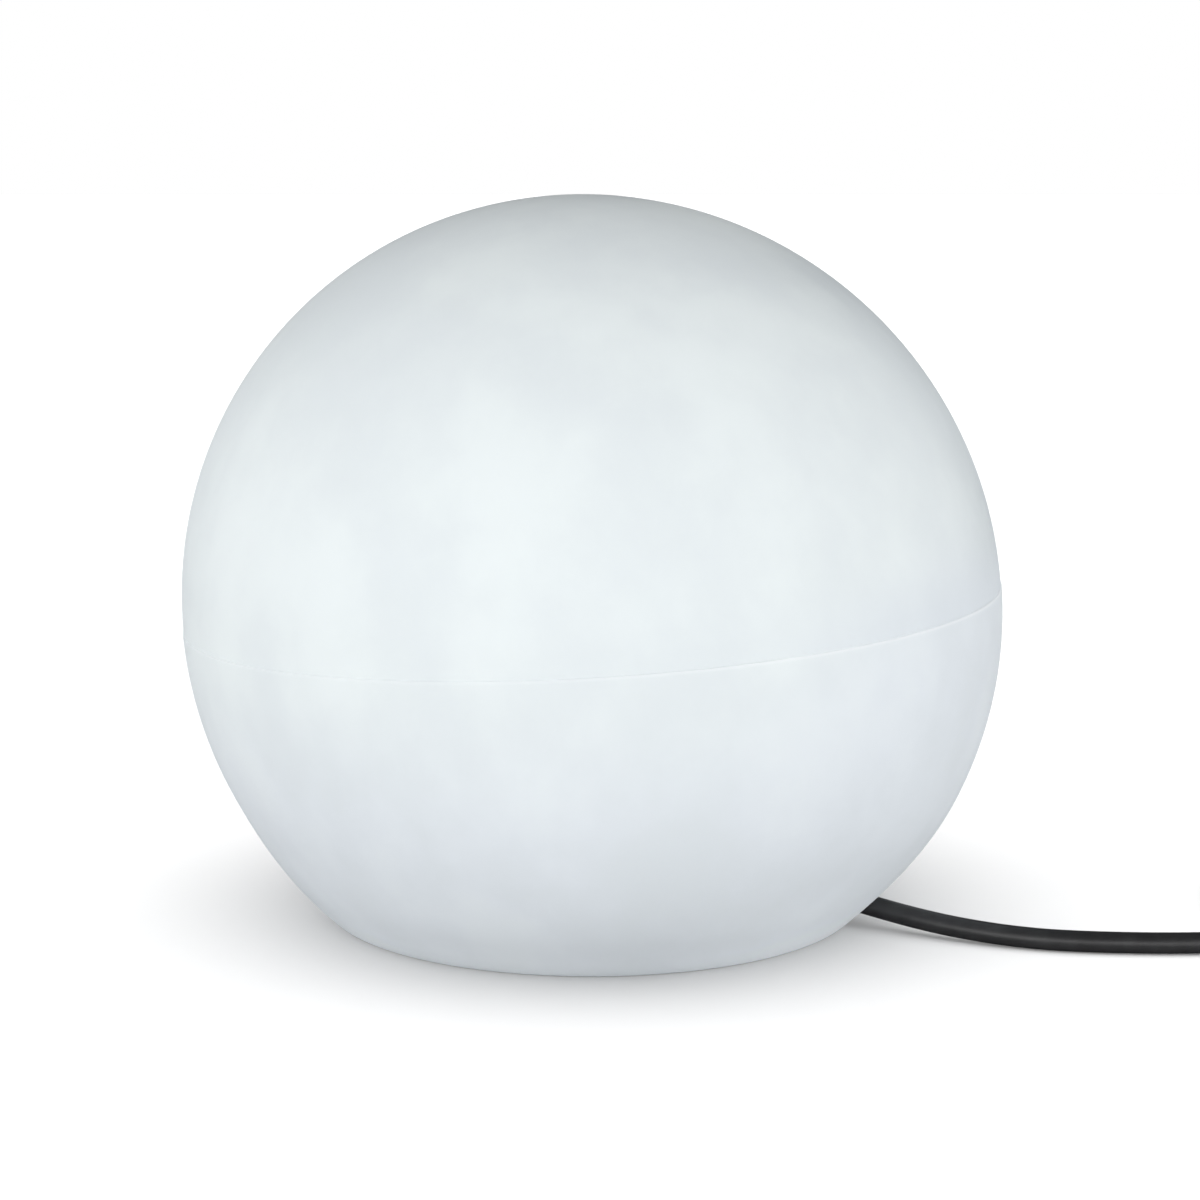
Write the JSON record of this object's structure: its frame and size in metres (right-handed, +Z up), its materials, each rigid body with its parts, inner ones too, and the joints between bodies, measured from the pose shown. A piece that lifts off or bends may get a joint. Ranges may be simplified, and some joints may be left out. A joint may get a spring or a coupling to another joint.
{
  "type": "garden globe light",
  "caption": "Moulded white globe light that stands on its flat base, with a lamp base, screw lampholder and bulb inside and a coiled rubber mains lead with plug.",
  "frame": {"origin": "centre of the globe's floor ring, on the floor", "axes": "+Z up; the lead leaves under the rim 17 degrees clockwise from +X, seen from above; the picture's camera looks along +Y"},
  "size_m": [0.533, 0.2998, 0.2636],
  "materials": {
    "globe_plastic": "rotationally moulded translucent white plastic",
    "brass": "turned",
    "base_plastic": "moulded, fine grain",
    "seal_rubber": "matt",
    "steel_screws": "zinc plated",
    "terminal_plastic": "moulded",
    "core_brown": "smooth",
    "core_blue": "smooth",
    "gland_plastic": "moulded nylon",
    "holder_plastic": "thermoset, semi-gloss",
    "disc_ceramic": "steatite, matt",
    "plated_metal": "nickel plated",
    "insulator_black": "smooth",
    "bulb_plastic": "satin",
    "opal_plastic": "opal",
    "board": "solder mask with LEDs",
    "cable_rubber": "satin",
    "tie_fabric": "woven hook and loop"
  },
  "bodies": {
    "base": {"base_plate": "base_plastic", "base_gasket": "seal_rubber", "globe_screws": "steel_screws", "feet": "seal_rubber", "junction_cover": "base_plastic", "cover_gasket": "seal_rubber", "cover_screws": "steel_screws", "cord_clamp": "base_plastic", "clamp_screws": "steel_screws", "terminal_block": "terminal_plastic", "terminal_sleeves": "brass", "terminal_screws": "steel_screws", "terminal_block_screw": "steel_screws", "core_brown": "core_brown", "core_blue": "core_blue", "lamp_wire_brown": "core_brown", "lamp_wire_blue": "core_blue", "gland_body": "gland_plastic", "gland_seal": "seal_rubber", "gland_nut": "gland_plastic", "gland_locknut": "gland_plastic", "lampholder_base": "holder_plastic", "lampholder_disc": "disc_ceramic", "lampholder_collar": "holder_plastic", "lampholder_screws": "steel_screws", "screw_shell": "plated_metal", "centre_contact": "brass", "cable_lead": "cable_rubber", "cable_coil": "cable_rubber", "coil_ties": "tie_fabric", "plug_strain_relief": "cable_rubber", "plug_body": "cable_rubber", "plug_pins": "plated_metal"},
    "globe": {"globe_shell": "globe_plastic", "threaded_inserts": "brass"},
    "bulb_foot": {"bulb_contact": "brass"},
    "bulb": {"bulb_insulator": "insulator_black", "bulb_cap": "plated_metal", "bulb_housing": "bulb_plastic", "bulb_driver": "board", "bulb_led_board": "board", "bulb_diffuser": "opal_plastic"}
  },
  "joints": [
    {"name": "globe_lift", "type": "slide", "parent": "base", "child": "globe", "axis": [0, 0, 1], "range_m": [0, 0.18]},
    {"name": "bulb_rise", "type": "slide", "parent": "base", "child": "bulb_foot", "axis": [0, 0, 1], "range_m": [0, 0.01815]},
    {"name": "bulb_turn", "type": "hinge", "parent": "bulb_foot", "child": "bulb", "pos_m": [0, 0, 0.07], "axis": [0, 0, 1], "range_deg": [0, 1800]}
  ],
  "couplings": [
    {"joint": "bulb_rise", "follows": "bulb_turn", "m_per_rad": 0.00057757}
  ]
}
